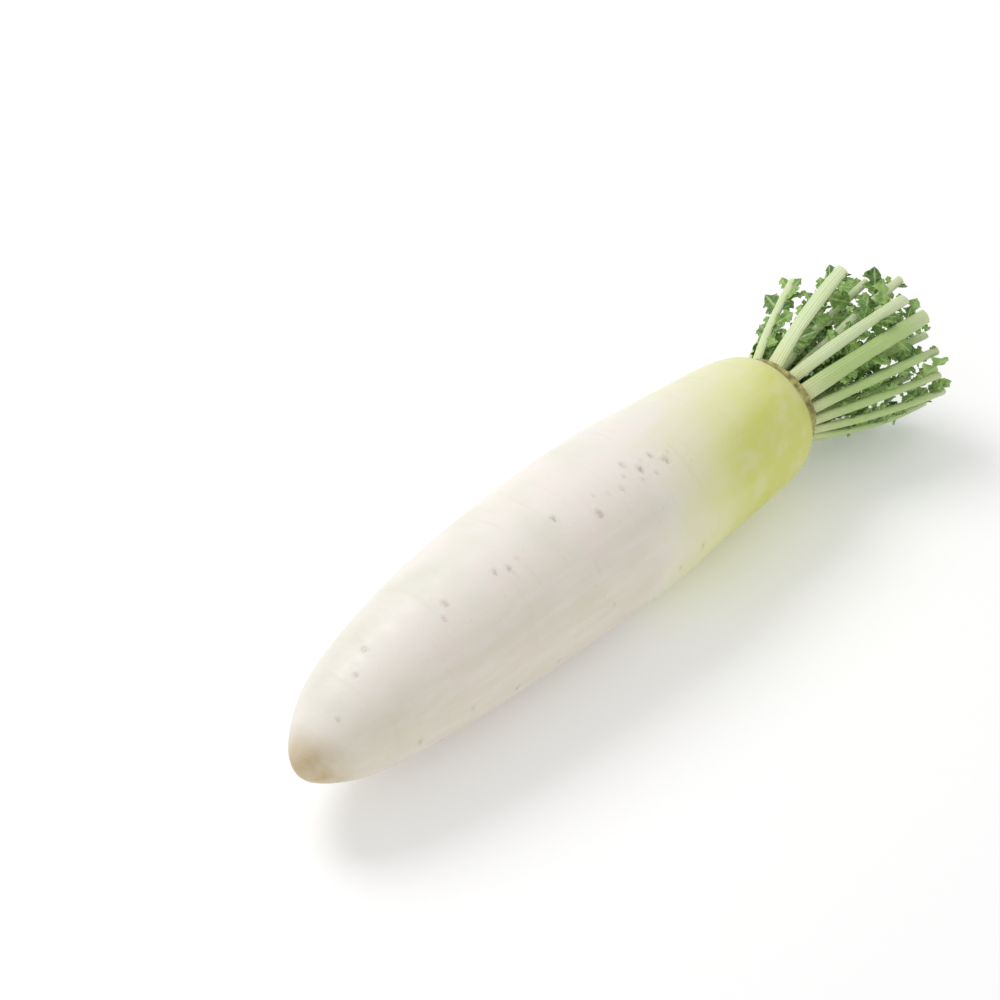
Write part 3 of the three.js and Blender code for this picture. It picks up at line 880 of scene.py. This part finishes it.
def root_material():
    n = Nodes("root_skin")
    blotch = n.noise(28, 3)
    fleck = n.noise(420, 2)
    around = n.noise(26, 4, n.stretched(9, 1, 1))
    streak = n.noise(34, 4, n.stretched(1, 7, 7))
    skin = skin_colours(n, blotch, streak)
    stain_patch = n.between(n.noise(70, 4), 0.25, 0.7, 0.35, 1.0)
    stain = n.math("MULTIPLY", n.value("tip_stain"), stain_patch)
    skin = n.blend(n.math("MULTIPLY", stain, 0.88), skin, linear(186, 163, 106))
    skin = n.blend(n.between(around, 0.56, 0.74, 0, 0.2), skin, linear(214, 203, 184))
    skin = n.blend(n.between(fleck, 0.66, 0.8, 0, 0.2), skin, linear(196, 184, 160))
    scar_patch = n.between(n.noise(650, 3), 0.38, 0.6, 0.16, 0.6)
    scar = n.math("MULTIPLY", n.value("scar"), scar_patch)
    skin = n.blend(scar, skin, linear(166, 154, 132))
    # Brown-olive collar of old leaf scars; its darkest tone is partly painted shade where the
    # stalk bases meet the root
    collar_scars_and_shade = n.ramp(
        n.noise(300, 4),
        (0.35, linear(120, 112, 58)),
        (0.5, linear(152, 144, 82)),
        (0.65, linear(184, 178, 114)),
    )
    skin = n.blend(n.value("collar_scars_and_shade"), skin, collar_scars_and_shade)
    roughness = n.between(n.noise(160, 3), 0.3, 0.7, 0.4, 0.56)
    normal = n.bump(around, 0.00022)
    normal = n.bump(fleck, 0.00006, 0.7, normal)
    return n.finish(skin, roughness, normal, 0.18, (3.2, 2.4, 1.6), 0.45)


def stalk_material():
    n = Nodes("stalk_skin")
    fine = n.noise(240, 3)
    lengthways = n.noise(60, 3, n.stretched(1, 12, 12))
    tone = n.math("ADD", n.value("tone"), n.swing(lengthways, 0.9))
    middle = n.ramp(
        tone,
        (0.1, linear(188, 213, 140)),
        (0.5, linear(202, 222, 158)),
        (0.9, linear(218, 232, 184)),
    )
    pale = n.ramp(fine, (0.3, linear(214, 220, 160)), (0.7, linear(226, 231, 184)))
    colour = n.blend(n.between(n.value("up_stalk"), 0.02, 0.35), pale, middle)
    towards_cut = n.between(n.value("up_stalk"), 0.8, 1.0, 0, 0.6)
    colour = n.blend(towards_cut, colour, linear(224, 230, 194))
    lines = n.math("SINE", n.math("MULTIPLY", n.value("around"), 2 * math.pi * 2 * RIBS), 0)
    colour = n.blend(n.between(lines, 0.4, 1, 0, 0.2), colour, linear(146, 178, 98))
    roughness = n.between(fine, 0.3, 0.7, 0.36, 0.5)
    normal = n.bump(lines, 0.00008)
    normal = n.bump(fine, 0.00006, 0.6, normal)
    return n.finish(colour, roughness, normal, 0.2, (1.6, 2.0, 0.9), 0.45)


def cut_material():
    n = Nodes("cut_end")
    ring = n.ramp(
        n.value("cut"),
        (0.0, linear(196, 206, 150)),
        (0.12, linear(226, 230, 206)),
        (0.55, linear(232, 232, 214)),
        (0.75, linear(196, 196, 160)),
        (1.0, linear(140, 138, 96)),
    )
    grain = n.noise(900, 3)
    colour = n.blend(n.between(grain, 0.5, 0.75, 0, 0.35), ring, linear(190, 182, 140))
    roughness = n.between(grain, 0.3, 0.7, 0.5, 0.7)
    return n.finish(colour, roughness, n.bump(grain, 0.00012), 0.2, (1.6, 1.6, 1.0), 0.35)


def leaflet_material():
    n = Nodes("leaflet")
    patch = n.noise(190, 3)
    fine = n.noise(900, 2)
    tone = n.math("ADD", patch, n.swing(n.value("around"), 0.45))
    blade = n.ramp(
        tone,
        (0.2, linear(62, 94, 38)),
        (0.5, linear(108, 148, 66)),
        (0.8, linear(164, 198, 108)),
    )
    vein_at = n.math("MULTIPLY", n.value("along_leaf"), 7)
    vein_at = n.math("SUBTRACT", vein_at, n.math("MULTIPLY", n.value("rib"), 1.6))
    side_veins = n.math("PINGPONG", vein_at, 0.5)
    midrib = n.between(n.value("rib"), 0.04, 0.2, 0.75, 0)
    veins = n.math("MAXIMUM", midrib, n.between(side_veins, 0.0, 0.12, 0.45, 0))
    colour = n.blend(veins, blade, linear(178, 202, 130))
    colour = n.blend(n.between(n.value("rib"), 0.72, 1.0, 0, 0.45), colour, linear(188, 212, 140))
    foot = n.between(n.value("along_leaf"), 0.04, 0.3, 0.85, 0)
    colour = n.blend(foot, colour, linear(162, 190, 112))
    roughness = n.between(fine, 0.3, 0.7, 0.38, 0.55)
    normal = n.bump(side_veins, 0.0001)
    normal = n.bump(fine, 0.00005, 0.6, normal)
    return n.finish(colour, roughness, normal, 0.12, (0.8, 1.4, 0.4), 0.45)


# Pieces
def dress():
    root = root_mesh(root_material())
    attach(root, "root")
    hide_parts("taproot")
    stalks = make_stalks()
    grown = grow(stalks, lambda stalk: stalk["placed"], [], SMALLEST_LEAFLET)
    grown = grow(stalks, crisps_of, grown, SMALLEST_CRISP, cad_box)
    materials = [stalk_material(), cut_material(), leaflet_material()]
    for index, stalk in enumerate(stalks):
        leaves = [leaf for leaf in grown if leaf["seed"] == index]
        piece = stalk_mesh(index, stalk, leaves, materials)
        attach(piece, "root")
        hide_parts(f"leaf_stalk_{index + 1:02d}")


# Floor and light, in metres
FLOOR_REACH = 3.0
FLOOR_GLOW = 0.12
WORLD_LIGHT = 0.71
KEY_PLACE = (-0.05, 0.8, 1.05)
KEY_TARGET = (0, 0, 0.04)
KEY_SIZE = 0.7
KEY_ENERGY = 7

# Camera, in millimetres and degrees
CAMERA_TURN = -46.8
CAMERA_RISE = 43.0
CAMERA_DISTANCE = 1332
CAMERA_TARGET = (-11.2, 43.3, 39.0)
LENS = 108
SENSOR = 36


def add_floor():
    far = FLOOR_REACH
    mesh = bpy.data.meshes.new("floor")
    corners = [(-far, -far, 0), (far, -far, 0), (far, far, 0), (-far, far, 0)]
    mesh.from_pydata(corners, [], [(0, 1, 2, 3)])
    material = bpy.data.materials.new("floor")
    material.use_nodes = True
    shader = material.node_tree.nodes["Principled BSDF"]
    shader.inputs["Base Color"].default_value = (0.93, 0.93, 0.93, 1)
    shader.inputs["Roughness"].default_value = 0.9
    shader.inputs["Specular IOR Level"].default_value = 0.1
    shader.inputs["Emission Color"].default_value = (1, 1, 1, 1)
    shader.inputs["Emission Strength"].default_value = FLOOR_GLOW
    mesh.materials.append(material)
    floor = bpy.data.objects.new("floor", mesh)
    bpy.context.collection.objects.link(floor)


def add_area_light(name, place, target, size, energy):
    light = bpy.data.lights.new(name, "AREA")
    light.shape = "DISK"
    light.size = size
    light.energy = energy
    lamp = bpy.data.objects.new(name, light)
    lamp.location = place
    aim = Vector(target) - Vector(place)
    lamp.rotation_euler = aim.to_track_quat("-Z", "Y").to_euler()
    bpy.context.collection.objects.link(lamp)


def add_lights():
    world = bpy.context.scene.world or bpy.data.worlds.new("world")
    bpy.context.scene.world = world
    world.use_nodes = True
    background = world.node_tree.nodes["Background"]
    background.inputs["Color"].default_value = (1, 1, 1, 1)
    background.inputs["Strength"].default_value = WORLD_LIGHT
    add_area_light("key", KEY_PLACE, KEY_TARGET, KEY_SIZE, KEY_ENERGY)


def add_camera():
    turn, rise = math.radians(CAMERA_TURN), math.radians(CAMERA_RISE)
    level = math.cos(rise)
    back = Vector((math.sin(turn) * level, -math.cos(turn) * level, math.sin(rise)))
    camera = bpy.data.cameras.new("camera")
    camera.sensor_width = SENSOR
    camera.lens = LENS
    seen_from = bpy.data.objects.new("camera", camera)
    seen_from.location = (Vector(CAMERA_TARGET) + back * CAMERA_DISTANCE) * MM
    seen_from.rotation_euler = back.to_track_quat("Z", "Y").to_euler()
    bpy.context.collection.objects.link(seen_from)
    bpy.context.scene.camera = seen_from


dress()
add_floor()
add_lights()
add_camera()
bpy.context.scene.view_settings.view_transform = "Standard"
